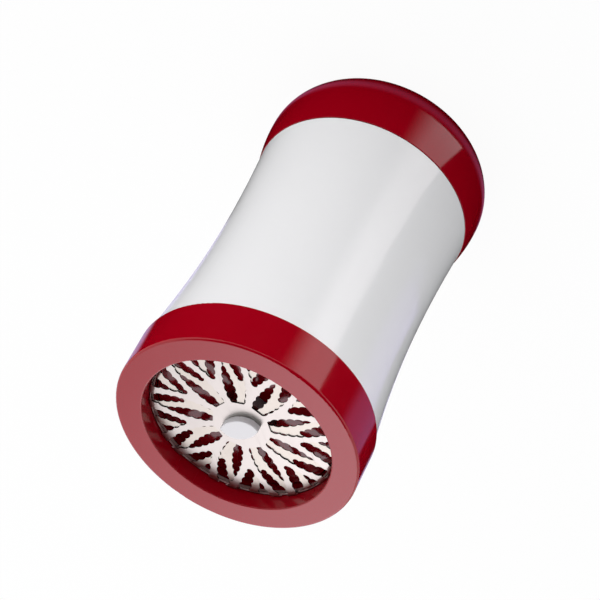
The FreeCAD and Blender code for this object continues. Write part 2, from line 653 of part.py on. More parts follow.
# Hub and its washers
def build_blade_hub():
    """Moulded hub: leaf-shaped head, round neck, flats, clip groove and hexagonal socket."""
    body = add_body("blade_hub", "Levels.hub_foot", "Sizes.cutter_turn")
    neck = "Sizes.hub_neck_radius"
    groove_foot = f"{above('hub_clip_foot', 'hub_foot')} - Sizes.clip_fit"
    groove_top = f"{above('thrust_foot', 'hub_foot')} + Sizes.clip_fit"
    under_head = f"{above('blade_face', 'hub_foot')} + Sizes.head_gap"
    revolve(body, [
        ("0", "0"),
        (neck, "0"),
        (neck, groove_foot),
        ("Radii.hub_groove", groove_foot),
        ("Radii.hub_groove", groove_top),
        (neck, groove_top),
        (neck, under_head),
        ("0", under_head),
    ])
    flats_foot = groove_top
    flats_height = f"{above('inner_face', 'hub_foot')} - ({flats_foot})"
    for name, across in (("flat_1", "Sizes.hub_flat"), ("flat_2", f"-Sizes.hub_flat - {neck}")):
        primitive(body, "PartDesign::SubtractiveBox", name, {
            "Length": neck,
            "Width": f"2 * {neck}",
            "Height": flats_height,
        }, across=across, along=f"-{neck}", height=flats_foot)
    head = add_sketch(body, "head", "XY_Plane", under_head, "Sizes.head_turn")
    draw_leaf(head)
    pad = body.newObject("PartDesign::Pad", "blade_hub_head_raised")
    pad.Profile = head
    pad.setExpression("Length", "Sizes.head_height - Sizes.head_gap")
    head.Visibility = False
    doc.recompute()
    treat_flat_edges(body, "PartDesign::Fillet", "Radius", "Sizes.head_round",
                     f"{under_head} + Sizes.head_height - Sizes.head_gap")
    hexagon(body, "PartDesign::SubtractivePrism", "socket", "Radii.socket_corner",
            "Sizes.hub_socket_depth", turn="-Sizes.cutter_turn")


def draw_leaf(sketch):
    """Two tips on the X axis; each side is two arcs that meet at its widest place."""
    tip, wide, skew = "Sizes.head_length / 2", "Sizes.head_width / 2", "Sizes.head_skew"
    steep, gentle = (("radius", f"(pow({tip} {way} {skew}; 2) + pow({wide}; 2)) / Sizes.head_width")
                     for way in "-+")
    draw_outline(sketch, [
        (tip, "0", *steep),
        (skew, wide, *gentle),
        (f"-{tip}", "0", *steep),
        (f"-{skew}", f"-{wide}", *gentle),
    ])


def treat_flat_edges(body, kind, key, size, height):
    """Rounds or chamfers every edge that lies flat at one height."""
    base = body.Tip
    level = value(height)
    names = []
    for index, edge in enumerate(base.Shape.Edges, start=1):
        box = edge.BoundBox
        if abs(box.ZMin - level) < 1e-4 and abs(box.ZMax - level) < 1e-4:
            names.append(f"Edge{index}")
    feature = body.newObject(kind, f"{body.Label}_edges")
    feature.Base = (base, names)
    feature.setExpression(key, size)
    doc.recompute()


def build_disc_spring():
    """Coned washer that presses the inner blade on the outer one."""
    body = add_body("disc_spring", "Levels.disc_spring_foot")
    rise = "Sizes.disc_spring_height"
    steel = "Sizes.disc_spring_thickness"
    revolve(body, [
        ("Radii.washer_bore", f"{rise} - {steel}"),
        ("Sizes.stack_radius", "0"),
        ("Sizes.stack_radius", steel),
        ("Radii.washer_bore", rise),
    ])


def build_thrust_washer():
    """Flat washer between the spring and the clip."""
    body = add_body("thrust_washer", "Levels.thrust_foot")
    revolve(body, ring_of("Radii.washer_bore", "Sizes.stack_radius", "0",
                          "Sizes.thrust_thickness"))


def build_clip(label, level, groove, shaft, turn):
    """Open retaining ring that sits in a groove."""
    body = add_body(label, level, turn)
    outline = ring_of(f"{groove} + Sizes.clip_fit", f"{shaft} + Sizes.clip_width", "0",
                      "Sizes.clip_thickness")
    revolve(body, outline, angle="360 - Sizes.clip_opening")


# Spindle, plunger and spring
def build_spindle():
    """Hexagonal rod with a tapped foot and a groove for the plunger's stop."""
    body = add_body("spindle", "Levels.spindle_foot")
    hexagon(body, "PartDesign::AdditivePrism", "rod", "Radii.hex_corner",
            above("spindle_tip", "spindle_foot"))
    low = f"{above('stop_foot', 'spindle_foot')} - Sizes.clip_fit"
    high = f"{low} + Sizes.clip_thickness + 2 * Sizes.clip_fit"
    revolve(body, ring_of("Radii.spindle_groove", "Sizes.drive_hex", low, high), "groove",
            "PartDesign::Groove")
    primitive(body, "PartDesign::SubtractiveCylinder", "tapping", {
        "Radius": "Sizes.screw_radius + Sizes.screw_fit",
        "Height": "Sizes.screw_reach + Sizes.screw_tip_gap",
    })
    treat_flat_edges(body, "PartDesign::Chamfer", "Size", "Sizes.spindle_chamfer",
                     above("spindle_tip", "spindle_foot"))


def build_plunger():
    """Pusher plate with a middle cup over the washers and a guide tube on the spindle."""
    body = add_body("plunger", "Levels.plunger_foot")
    seat = "Sizes.plunger_guide_length"
    floor = above("plunger_floor", "plunger_foot")
    back = above("plunger_back", "plunger_foot")
    face = above("plunger_face", "plunger_foot")
    wiper_foot = f"({back} + {face} - Sizes.wiper_thickness) / 2"
    wiper_top = f"({back} + {face} + Sizes.wiper_thickness) / 2"
    revolve(body, [
        ("0", "0"),
        ("Sizes.plunger_guide_radius", "0"),
        ("Sizes.plunger_guide_radius", seat),
        ("Radii.plunger_cup_outside", seat),
        ("Radii.plunger_cup_outside", back),
        ("Radii.plunger_disc", back),
        ("Radii.plunger_disc", wiper_foot),
        ("Radii.wiper_seat", wiper_foot),
        ("Radii.wiper_seat", wiper_top),
        ("Radii.plunger_disc", wiper_top),
        ("Radii.plunger_disc", face),
        ("Radii.plunger_cup", face),
        ("Radii.plunger_cup", floor),
        ("0", floor),
    ])
    rib = add_sketch(body, "rib")
    inside = "Radii.plunger_cup_outside - Sizes.plunger_cup_wall / 2"
    draw_outline(rib, [
        (inside, seat),
        ("Radii.plunger_cup_outside", seat),
        ("Radii.plunger_disc - Sizes.plunger_rib_inset", back),
        ("Radii.plunger_disc - Sizes.plunger_rib_inset", f"{back} + Sizes.plunger_rib_width / 2"),
        (inside, f"{back} + Sizes.plunger_rib_width / 2"),
    ])
    pad = body.newObject("PartDesign::Pad", "plunger_rib_pad")
    pad.Profile = rib
    pad.SideType = "Symmetric"
    pad.setExpression("Length", "Sizes.plunger_rib_width")
    rib.Visibility = False
    doc.recompute()
    repeat(body, [pad], "Sizes.plunger_rib_count")
    hexagon(body, "PartDesign::SubtractivePrism", "bore",
            "(Sizes.drive_hex + 2 * Sizes.plunger_hex_fit) / sqrt(3)", floor)


def build_plunger_wiper():
    """Soft ring in the plunger's rim."""
    body = add_body("plunger_wiper", "(Levels.plunger_back + Levels.plunger_face"
                                     " - Sizes.wiper_thickness) / 2")
    lip = "Sizes.wiper_thickness / 4"
    revolve(body, [
        ("Radii.wiper_seat", "0"),
        ("Radii.wiper - " + lip, "0"),
        ("Radii.wiper", lip),
        ("Radii.wiper", f"3 * {lip}"),
        ("Radii.wiper - " + lip, "Sizes.wiper_thickness"),
        ("Radii.wiper_seat", "Sizes.wiper_thickness"),
    ])


def biarc(start, start_way, end, end_way):
    """Two arcs that leave one point and reach another along given directions."""
    chord = end - start
    both = start_way + end_way
    lead = 2 * (1 - start_way.dot(end_way))
    along = chord.dot(both)
    reach = (math.sqrt(along**2 + lead * chord.dot(chord)) - along) / lead
    first, second = start + start_way * reach, end - end_way * reach
    middle = (first + second) * 0.5
    arcs = []
    for a, corner, b in ((start, first, middle), (middle, second, end)):
        half = (b - a).Length / 2
        height = (corner - (a + b) * 0.5).Length
        crest = (a + b) * 0.5 + (corner - (a + b) * 0.5) * (half / (half + (corner - a).Length))
        if height > 1e-9:
            arcs.append(Part.Arc(a, crest, b).toShape())
    return arcs


def coil_point(turn, foot, pitch_rise):
    """A place on the spring's middle line and its direction, at a count of turns."""
    angle = 2 * math.pi * turn
    height, slope = pitch_rise(turn)
    radius = sizes.coil_radius
    place = FreeCAD.Vector(radius * math.cos(angle), radius * math.sin(angle), foot + height)
    way = FreeCAD.Vector(-radius * math.sin(angle), radius * math.cos(angle),
                         slope / (2 * math.pi))
    return place, way.normalize()


def least_gap(points, near, wire):
    """The least distance between a wire's turns, from points along its middle line."""
    least = min((one - other).Length
                for index, one in enumerate(points) for other in points[index + near:])
    return least - wire


def build_plunger_spring():
    """Compression spring whose end turns are closed and ground flat."""
    wire = sizes.coil_wire
    foot = value("Levels.core_floor_top")
    top = value("Levels.plunger_seat - Sizes.coil_seat_gap")
    turns = int(sizes.coil_turns)
    closed = int(sizes.coil_closed_turns)
    closed_pitch = sizes.coil_closed_pitch
    rise = top - foot - 2 * closed * closed_pitch
    pitch = rise / turns

    def heights(turn):
        if turn <= closed:
            return turn * closed_pitch, closed_pitch
        if turn >= closed + turns:
            return closed * closed_pitch + rise + (turn - closed - turns) * closed_pitch, closed_pitch
        return closed * closed_pitch + (turn - closed) * pitch, pitch

    quarters = 4 * (turns + 2 * closed)
    edges = []
    place, way = coil_point(0, foot, heights)
    for quarter in range(1, quarters + 1):
        after, after_way = coil_point(quarter / 4, foot, heights)
        edges.extend(biarc(place, way, after, after_way))
        place, way = after, after_way
    path = Part.Wire(edges)
    start, start_way = coil_point(0, foot, heights)
    ring = Part.Wire([Part.makeCircle(wire / 2, start, start_way)])
    tube = path.makePipeShell([ring], True, False)
    slab = Part.makeCylinder(2 * sizes.coil_radius, top - foot, FreeCAD.Vector(0, 0, foot))
    feature = doc.addObject("Part::Feature", "plunger_spring")
    feature.Label = "plunger_spring"
    feature.Shape = tube.common(slab)
    steps_per_turn = 24
    points = [coil_point(step / steps_per_turn, foot, heights)[0]
              for step in range(steps_per_turn * (turns + 2 * closed) + 1)]
    least = least_gap(points, steps_per_turn // 2, wire)
    print(f"spring: least gap between turns {least:.2f} mm, pitch {pitch:.2f} mm")


# Cap, core and collar
def build_collar():
    """Bearing collar, keyed into the barrel's foot, with the ledge that carries the cap."""
    body = add_body("collar", "Levels.collar_foot")
    stop_top = above("stop_top", "collar_foot")
    top = above("collar_top", "collar_foot")
    groove = above("oring_foot", "collar_foot")
    ledge = "Sizes.collar_ledge_thickness"
    revolve(body, [
        ("Radii.ledge_bore", "0"),
        ("Radii.collar", "0"),
        ("Radii.collar", f"{stop_top} - Sizes.collar_stop_height"),
        ("Radii.collar + Sizes.collar_stop_width", f"{stop_top} - Sizes.collar_stop_height"),
        ("Radii.collar + Sizes.collar_stop_width", stop_top),
        ("Radii.collar", stop_top),
        ("Radii.collar", groove),
        ("Radii.oring_seat", groove),
        ("Radii.oring_seat", f"{groove} + 2 * Sizes.oring_radius"),
        ("Radii.collar", f"{groove} + 2 * Sizes.oring_radius"),
        ("Radii.collar", top),
        ("Radii.collar_bore", top),
        ("Radii.collar_bore", ledge),
        ("Radii.ledge_bore", ledge),
    ])
    primitive(body, "PartDesign::AdditiveBox", "key", {
        "Length": "Sizes.collar_gap + Sizes.key_notch_depth - Sizes.key_fit + 0.5",
        "Width": "Sizes.key_notch_width - 2 * Sizes.key_fit",
        "Height": "Sizes.key_length",
    }, "Sizes.key_count", across="Radii.collar - 0.5",
        along="Sizes.key_fit - Sizes.key_notch_width / 2", height=f"{top} - Sizes.key_length")


def build_collar_oring():
    """O-ring that holds the collar in the barrel."""
    body = add_body("collar_oring", "Levels.oring_foot + Sizes.oring_radius")
    primitive(body, "PartDesign::AdditiveTorus", "ring", {
        "Radius1": "Radii.oring_seat + Sizes.oring_radius",
        "Radius2": "Sizes.oring_radius",
    })


def build_bearing_washer():
    """Slip ring on which the core's flange turns."""
    body = add_body("bearing_washer", "Levels.ledge_top")
    revolve(body, ring_of("Radii.ledge_bore", "Radii.core_flange", "0",
                          "Sizes.bearing_thickness"))


def build_cap_core():
    """Cup inside the cap: flange on the collar, floor for the spring, boss for the spindle."""
    body = add_body("cap_core", "Levels.core_foot")
    flange = above("core_flange", "core_foot")
    inside = "Radii.core - Sizes.core_wall"
    revolve(body, [
        ("0", "0"),
        ("Radii.core", "0"),
        ("Radii.core", flange),
        ("Radii.core_flange", flange),
        ("Radii.core_flange", f"{flange} + Sizes.core_flange_thickness"),
        (inside, f"{flange} + Sizes.core_flange_thickness"),
        (inside, "Sizes.core_floor"),
        ("Sizes.core_boss_radius", "Sizes.core_floor"),
        ("Sizes.core_boss_radius", "Sizes.core_boss_height"),
        ("0", "Sizes.core_boss_height"),
    ])
    socket_foot = "Sizes.core_floor + Sizes.spindle_seat"
    hexagon(body, "PartDesign::SubtractivePrism", "socket", "Radii.socket_corner",
            f"Sizes.core_boss_height - ({socket_foot})", socket_foot)
    hole = {"Radius": "Sizes.screw_radius + Sizes.screw_play", "Height": socket_foot}
    primitive(body, "PartDesign::SubtractiveCylinder", "spindle_hole", hole)
    primitive(body, "PartDesign::SubtractiveCylinder", "screw_hole", hole,
              "Sizes.screw_count", across="Sizes.post_circle")


def build_cap_shell():
    """Rounded shell with a flat end and three screw posts inside."""
    body = add_body("cap_shell")
    belly = "Sizes.cap_belly_height"
    revolve(body, [
        ("0", "0"),
        ("Radii.cap_base", "0", "height", belly),
        ("Radii.cap_belly", belly, "height", belly),
        ("Radii.cap_rim", "Sizes.cap_height"),
        ("Radii.cap_rim - Sizes.cap_wall", "Sizes.cap_height", "height", belly),
        ("Radii.cap_belly - Sizes.cap_wall", belly, "height", belly),
        ("Radii.cap_base", "Sizes.cap_wall"),
        ("0", "Sizes.cap_wall"),
    ])
    round_edges(body, "Sizes.cap_rim_round", "rim", ("Radii.cap_rim", "Sizes.cap_height"))
    primitive(body, "PartDesign::AdditiveCylinder", "post", {
        "Radius": "Sizes.post_radius",
        "Height": "Sizes.post_height + Sizes.cap_wall / 2",
    }, "Sizes.screw_count", across="Sizes.post_circle", height="Sizes.cap_wall / 2")
    depth = "Sizes.screw_grip + Sizes.screw_tip_gap"
    primitive(body, "PartDesign::SubtractiveCylinder", "pilot", {
        "Radius": "Sizes.screw_radius + Sizes.screw_fit",
        "Height": depth,
    }, "Sizes.screw_count", across="Sizes.post_circle",
        height=f"Levels.core_foot - ({depth})")


def add_screw(body, shank, head_foot, shank_foot, across="0", count=None):
    """Pan head screw with a hexagonal drive recess; its head is above or below its shank."""
    head_up = value(head_foot) > value(shank_foot)
    recess = f"{head_foot} + Sizes.screw_head_height - Sizes.screw_socket_depth" if head_up \
        else head_foot
    features = []
    for kind, name, bindings, foot in (
        ("PartDesign::AdditiveCylinder", "head",
         {"Radius": "Sizes.screw_head_radius", "Height": "Sizes.screw_head_height"}, head_foot),
        ("PartDesign::AdditiveCylinder", "shank",
         {"Radius": "Sizes.screw_radius", "Height": shank}, shank_foot),
        ("PartDesign::SubtractivePrism", "recess",
         {"Circumradius": "Sizes.screw_socket", "Height": "Sizes.screw_socket_depth"}, recess),
    ):
        features.append(primitive(body, kind, name, bindings, height=foot, across=across))
    if count:
        repeat(body, features, count)


def build_cap_screws():
    """Three equal screws that draw the cap shell up to the core."""
    body = add_body("cap_screws", "Levels.core_foot - Sizes.screw_grip")
    body.AllowCompound = True
    shank = "Sizes.screw_grip + Sizes.core_floor"
    add_screw(body, shank, shank, "0", "Sizes.post_circle", "Sizes.screw_count")


def build_spindle_screw():
    """Screw through the core's floor into the spindle's foot."""
    body = add_body("spindle_screw", "Levels.core_foot - Sizes.screw_head_height")
    shank = "Levels.spindle_foot - Levels.core_foot + Sizes.screw_reach"
    add_screw(body, shank, "0", "Sizes.screw_head_height")


def check_document():
    """Stops if an object failed or a piece has no valid shape."""
    doc.recompute()
    for item in doc.Objects:
        if "Invalid" in item.State or "Error" in item.State:
            raise RuntimeError(f"{item.Label} failed: {item.State}")
    pieces = [item for item in doc.Objects
              if item.TypeId == "PartDesign::Body" or item.Label == "plunger_spring"]
    for piece in pieces:
        shape = piece.Shape
        if shape.isNull() or not shape.isValid() or not shape.Solids:
            raise RuntimeError(f"{piece.Label} has no valid solid")
    return pieces


build_cap_shell()
build_cap_core()
build_cap_screws()
build_spindle_screw()
build_collar()
build_collar_oring()
build_bearing_washer()
build_barrel_shell()
build_chamber()
build_blade_ring()
build_blade_gasket()
build_outer_blade()
build_inner_blade()
build_blade_hub()
build_disc_spring()
build_thrust_washer()
build_clip("hub_clip", "Levels.hub_clip_foot", "Radii.hub_groove", "Sizes.hub_neck_radius",
           "Sizes.cutter_turn")
build_spindle()
build_clip("plunger_stop", "Levels.stop_foot", "Radii.spindle_groove", "Radii.hex_corner", "0")
build_plunger()
build_plunger_wiper()
build_plunger_spring()

os.makedirs("parts", exist_ok=True)
for piece in check_document():
    piece.Shape.exportStep(os.path.join("parts", f"{piece.Label}.step"))
    print(f"{piece.Label}: {len(piece.Shape.Solids)} solid, {piece.Shape.Volume:.1f} mm3")
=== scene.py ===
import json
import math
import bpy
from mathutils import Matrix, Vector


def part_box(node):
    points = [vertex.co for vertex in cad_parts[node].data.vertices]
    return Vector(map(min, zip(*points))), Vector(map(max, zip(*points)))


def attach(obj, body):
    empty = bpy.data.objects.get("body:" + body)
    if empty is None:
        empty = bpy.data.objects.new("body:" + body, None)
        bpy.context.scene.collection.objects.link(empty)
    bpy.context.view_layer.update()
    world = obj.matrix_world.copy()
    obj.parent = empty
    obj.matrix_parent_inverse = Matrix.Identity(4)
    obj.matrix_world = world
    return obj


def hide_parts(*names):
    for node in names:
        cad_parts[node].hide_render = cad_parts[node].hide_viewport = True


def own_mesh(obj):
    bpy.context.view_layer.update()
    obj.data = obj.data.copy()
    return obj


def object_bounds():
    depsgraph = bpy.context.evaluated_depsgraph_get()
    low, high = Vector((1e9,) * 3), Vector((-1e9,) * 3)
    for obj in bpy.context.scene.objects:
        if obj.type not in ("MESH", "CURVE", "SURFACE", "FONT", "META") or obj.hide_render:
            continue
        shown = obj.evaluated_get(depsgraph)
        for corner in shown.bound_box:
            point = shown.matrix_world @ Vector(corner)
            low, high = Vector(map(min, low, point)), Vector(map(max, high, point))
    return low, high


bl_info = {
    "name": "Twist Herb Mill",
    "version": (1, 0, 0),
    "blender": (4, 5, 0),
    "location": "View3D > Sidebar > Herb Mill",
    "description": "Finishes, soft parts, plunger spring and stage for a twist mill for fresh herbs",
    "category": "Object",
}

import bmesh
import bpy
from bpy.props import FloatProperty, FloatVectorProperty, IntProperty, PointerProperty
from mathutils import Matrix, Vector

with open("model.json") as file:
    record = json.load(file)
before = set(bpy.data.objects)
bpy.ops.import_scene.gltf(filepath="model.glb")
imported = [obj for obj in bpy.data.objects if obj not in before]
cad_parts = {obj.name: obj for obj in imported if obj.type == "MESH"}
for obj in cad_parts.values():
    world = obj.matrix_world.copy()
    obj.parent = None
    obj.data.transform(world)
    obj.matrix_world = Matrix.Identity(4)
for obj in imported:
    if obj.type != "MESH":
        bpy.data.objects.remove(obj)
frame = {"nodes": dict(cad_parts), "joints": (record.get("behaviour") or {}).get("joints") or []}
cad_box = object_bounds()
NODES = frame["nodes"]
MM = 0.001
MICRON = 0.000001


# Sizes and colours a user would change
def colour(name, description, *rgb):
    """A colour property with its default."""
    return FloatVectorProperty(name=name, description=description, subtype="COLOR",
                               size=3, min=0.0, max=1.0, default=rgb)


def length(name, description, metres):
    """A length property with its default in metres."""
    return FloatProperty(name=name, description=description, unit="LENGTH",
                         precision=5, default=metres)


def angle(name, description, degrees):
    """An angle property with its default in degrees."""
    return FloatProperty(name=name, description=description, subtype="ANGLE",
                         default=math.radians(degrees))


def share(name, description, amount, top=1.0):
    """A plain number with its default."""
    return FloatProperty(name=name, description=description, min=0.0, max=top, default=amount)


class MillFinish(bpy.types.PropertyGroup):
    """Colours and gloss of the mill's materials."""
    red: colour("Red", "Gloss red of ring, cap, chamber and plunger", 0.31, 0.0, 0.007)
    red_roughness: share("Red roughness", "Roughness of the red gloss", 0.09)
    white: colour("White", "Gloss white of the barrel", 0.83, 0.82, 0.825)
    white_roughness: share("White roughness", "Roughness of the barrel's gloss", 0.12)
    satin: colour("Satin", "Satin white of the hub and the inner mouldings", 0.70, 0.69, 0.71)
    slip: colour("Slip plastic", "Natural plastic of the slip ring", 0.72, 0.69, 0.60)
    steel: colour("Blade steel", "Bright sheet of the blades", 0.455, 0.45, 0.42)
    lower_steel: colour("Lower blade", "Tone of the lower blade", 0.445, 0.435, 0.385)
    steel_roughness: share("Steel roughness", "Roughness of the blade steel", 0.3)
    rod: colour("Rod steel", "Drawn steel of spindle and screws", 0.55, 0.55, 0.54)
    spring: colour("Spring steel", "Wire and washers", 0.42, 0.41, 0.40)
    rubber: colour("Rubber", "Seals and the plunger's lip", 0.045, 0.046, 0.05)


class MillSizes(bpy.types.PropertyGroup):
    """Sizes of the pieces that this script makes."""
    wire: length("Wire", "Diameter of the plunger spring's wire", 1.2 * MM)
    turns: IntProperty(name="Turns", description="Open turns of the plunger spring",
                       min=2, max=40, default=12)
    closed_pitch: share("Closed pitch", "Rise of a closed end turn, in wire diameters", 1.4, 3.0)
    lip_flare: length("Lip flare", "How far the wiper's lips spread", 0.25 * MM)
    lip_groove: length("Lip groove", "Depth of the groove between the wiper's lips", 0.45 * MM)
    seal_bead: length("Seal bead", "Height of the gasket's sealing bead", 0.12 * MM)


class MillStage(bpy.types.PropertyGroup):
    """Camera, floor and light."""
    lens: FloatProperty(name="Lens", description="Focal length on a 36 mm sensor",
                        min=10.0, default=165.1)
    azimuth: angle("Azimuth", "Camera's turn round the mill, 0 looking along Y", -36.76)
    elevation: angle("Elevation", "Camera above the horizon", 41.68)
    roll: angle("Roll", "Camera turned about its own line of sight", -151.6)
    face_right: length("Face right", "Ring's face centre, right of the line of sight", -18.44 * MM)
    face_up: length("Face up", "Ring's face centre, above the line of sight", -39.02 * MM)
    face_away: length("Face away", "Ring's face centre, along the line of sight", 786.6 * MM)
    floor_radius: length("Floor radius", "Round floor under the mill", 4.0)
    floor_seen: share("Floor seen", "Grey of the floor to the camera", 1.0)
    floor_bounce: share("Floor bounce", "Grey of the floor to the mill", 0.8)
    floor_near: share("Floor near", "Grey of the floor close to the mill", 0.05)
    horizon: share("Horizon", "Level of the room's light at the horizon", 1.95, 4.0)
    zenith: share("Zenith", "Level of the room's light overhead", 0.3, 4.0)
    key: share("Key", "Brightness of the key box", 3.0, 9.0)
    front: share("Front", "Brightness of the front box", 2.1, 9.0)


# Materials
class Wire:
    """A socket of a material that can be used in sums."""

    def __init__(self, graph, socket):
        self.graph = graph
        self.socket = socket

    def maths(self, operation, *values):
        """A Math node on this socket and the values that follow."""
        inputs = dict(enumerate((self,) + values))
        return self.graph.add("Math", {"operation": operation}, inputs)

    def __add__(self, other):
        return self.maths("ADD", other)

    def __mul__(self, other):
        return self.maths("MULTIPLY", other)

    def __sub__(self, other):
        return self.maths("SUBTRACT", other)

    def __rsub__(self, other):
        return self.graph.add("Math", {"operation": "SUBTRACT"}, {0: other, 1: self})

    __radd__ = __add__
    __rmul__ = __mul__

    def part(self, name):
        """One of the three parts of a vector."""
        return self.graph.add("SeparateXYZ", None, {"Vector": self}, output=name)

    def above(self, level, softness):
        """0 below the level, 1 above it, with a soft step between."""
        return self.graph.add("MapRange", {"interpolation_type": "SMOOTHSTEP"}, {
            "Value": self, "From Min": level - softness, "From Max": level + softness})


class Graph:
    """The nodes of one material or of the world."""

    def __init__(self, tree):
        self.tree = tree
        tree.nodes.clear()

    def add(self, kind, settings=None, sockets=None, output=0):
        """Adds a node, its settings first, then its sockets' values or links."""
        node = self.tree.nodes.new("ShaderNode" + kind)
        for name, setting in (settings or {}).items():
            setattr(node, name, setting)
        for name, given in (sockets or {}).items():
            if isinstance(given, Wire):
                self.tree.links.new(given.socket, node.inputs[name])
            else:
                node.inputs[name].default_value = given
        return Wire(self, node.outputs[output])

    def place(self, scale=(1, 1, 1), turn=(0, 0, 0), start=(0, 0, 0)):
        """Object coordinates in metres, turned and stretched."""
        point = self.add("TexCoord", output="Object")
        return self.add("Mapping", None, {
            "Vector": point, "Location": start, "Rotation": turn, "Scale": scale})

    def noise(self, where, scale, detail=2.0, roughness=0.5, distortion=0.0):
        """Noise from 0 to 1."""
        return self.add("TexNoise", None, {
            "Vector": where, "Scale": scale, "Detail": detail,
            "Roughness": roughness, "Distortion": distortion})

    def reach(self):
        """A point's distance from the mill's axis, in metres."""
        flat = self.place(scale=(1, 1, 0))
        return self.add("VectorMath", {"operation": "LENGTH"}, {0: flat}, output="Value")

    def bearing(self, towards):
        """Degrees of a point's bearing from the mill's axis, 0 in a given direction."""
        point = self.place(turn=(0, 0, -math.radians(towards)))
        angle = point.part("Y").maths("ARCTAN2", point.part("X"))
        return angle * math.degrees(1)

    def blend(self, amount, first, second, kind="MIX"):
        """A colour between two colours."""
        return self.add("Mix", {"data_type": "RGBA", "blend_type": kind}, {
            0: amount, 6: first, 7: second}, output=2)

    def bump(self, height, distance, under=None):
        """A normal raised by a height from 0 to 1, over a distance in metres."""
        sockets = {"Height": height, "Distance": distance, "Strength": 1.0}
        if under is not None:
            sockets["Normal"] = under
        return self.add("Bump", None, sockets)

    def surface(self, shader):
        """Ends the material with a shader."""
        self.add_output("OutputMaterial", shader)

    def add_output(self, kind, shader):
        """Adds an output node and links a shader to it."""
        node = self.tree.nodes.new("ShaderNode" + kind)
        self.tree.links.new(shader.socket, node.inputs["Surface"])


def rgba(rgb, factor=1.0):
    """A colour with its alpha, made darker or lighter by a factor."""
    return tuple(min(1.0, part * factor) for part in rgb) + (1.0,)


def new_material(name):
    """A node material and its graph, in place of the frame's plain one if it has that name."""
    material = bpy.data.materials.get(name) or bpy.data.materials.new(name)
    material.use_nodes = True
    return material, Graph(material.node_tree)


def scratches(graph, turns, density, thinness):
    """Hairline marks in several directions, 1 on a mark."""
    stretch, line_softness, line_step = 60, 0.012, 3.1
    patch_scale, patch_level, patch_softness, patch_step = 55.0, 0.56, 0.05, 5.3
    marks = None
    for number, turn in enumerate(turns):
        across = graph.place(scale=(density, density / stretch, density / stretch),
                             turn=(turn, turn * 2, turn), start=(number * line_step, 0, 0))
        line = graph.noise(across, 1.0, detail=0.0).above(thinness, line_softness)
        shifted = graph.place(start=(0, number * patch_step, 0))
        patch = graph.noise(shifted, patch_scale).above(patch_level, patch_softness)
        mark = line * patch
        marks = mark if marks is None else marks.maths("MAXIMUM", mark)
    return marks


def moulded(name, rgb, roughness, grain, flow=0.03, shade=None, matt=None):
    """Injection-moulded plastic: flow shading, soft haze, faint hairlines and the tool's texture,
    with an optional painted shade.
    """
    flow_scale, speck_scale, handling_scale = 26.0, 5200.0, 48.0
    peel_scale, sink_scale, scratch_density = 620.0, 42.0, 2600.0
    speck_shade, speck_share = 0.6, flow * 2
    haze, wear = 0.05, 0.05
    sink_depth, scratch_depth = 30 * MICRON, 0.2 * MICRON
    material, graph = new_material(name)
    where = graph.place()
    drift = graph.noise(where, flow_scale, detail=3.0, distortion=0.6)
    base = graph.blend(drift, rgba(rgb, 1 - flow), rgba(rgb, 1 + flow))
    # An optional painted shade darkens the colour where shade falls on the piece
    if shade:
        base = graph.blend(1.0, base, shade(graph), kind="MULTIPLY")
    speck = graph.noise(where, speck_scale, detail=0.0).above(0.74, softness=0.02)
    base = graph.blend(speck * speck_share, base, rgba(rgb, speck_shade))
    handled = graph.noise(where, handling_scale, detail=4.0, roughness=0.62)
    handled = handled.above(0.56, softness=0.14)
    marks = scratches(graph, (0.4, 1.3, 2.2), scratch_density, thinness=0.73)
    rough = roughness + handled * haze + marks * wear
    if matt:
        rough = rough + matt(graph)
    peel = graph.noise(where, peel_scale, detail=1.0)
    sink = graph.noise(where, sink_scale, detail=1.0)
    normal = graph.bump(sink, sink_depth)
    normal = graph.bump(peel, grain, under=normal)
    normal = graph.bump(1 - marks, scratch_depth, under=normal)
    graph.surface(graph.add("BsdfPrincipled", None, {
        "Base Color": base, "Roughness": rough, "Normal": normal, "IOR": 1.5}))


def inside_mouth(graph):
    """1 on the wall of the ring's mouth and within it."""
    mouth, softness = face_radii("blade_ring")[0], 0.1 * MM
    return 1 - graph.reach().above(mouth - softness, softness)


def painted_red_shade(graph):
    """Painted shade: the red is darkened inside the ring's mouth and on the cap, standing in for the
    shade there.
    """
    mouth_painted_shade, cap_painted_shade = 0.2, 0.1
    cap_top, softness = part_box("cap_shell")[1].z, 0.05 * MM
    on_cap = 1 - graph.place().part("Z").above(cap_top + 2 * softness, softness)
    return (1 - inside_mouth(graph) * mouth_painted_shade) * (1 - on_cap * cap_painted_shade)


def mouth_matt(graph):
    """The wall of the ring's mouth is less polished than the rest."""
    added_roughness, softness = 0.14, 0.05 * MM
    over_blades = graph.place().part("Z").above(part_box("outer_blade")[1].z, softness)
    return over_blades * inside_mouth(graph) * added_roughness


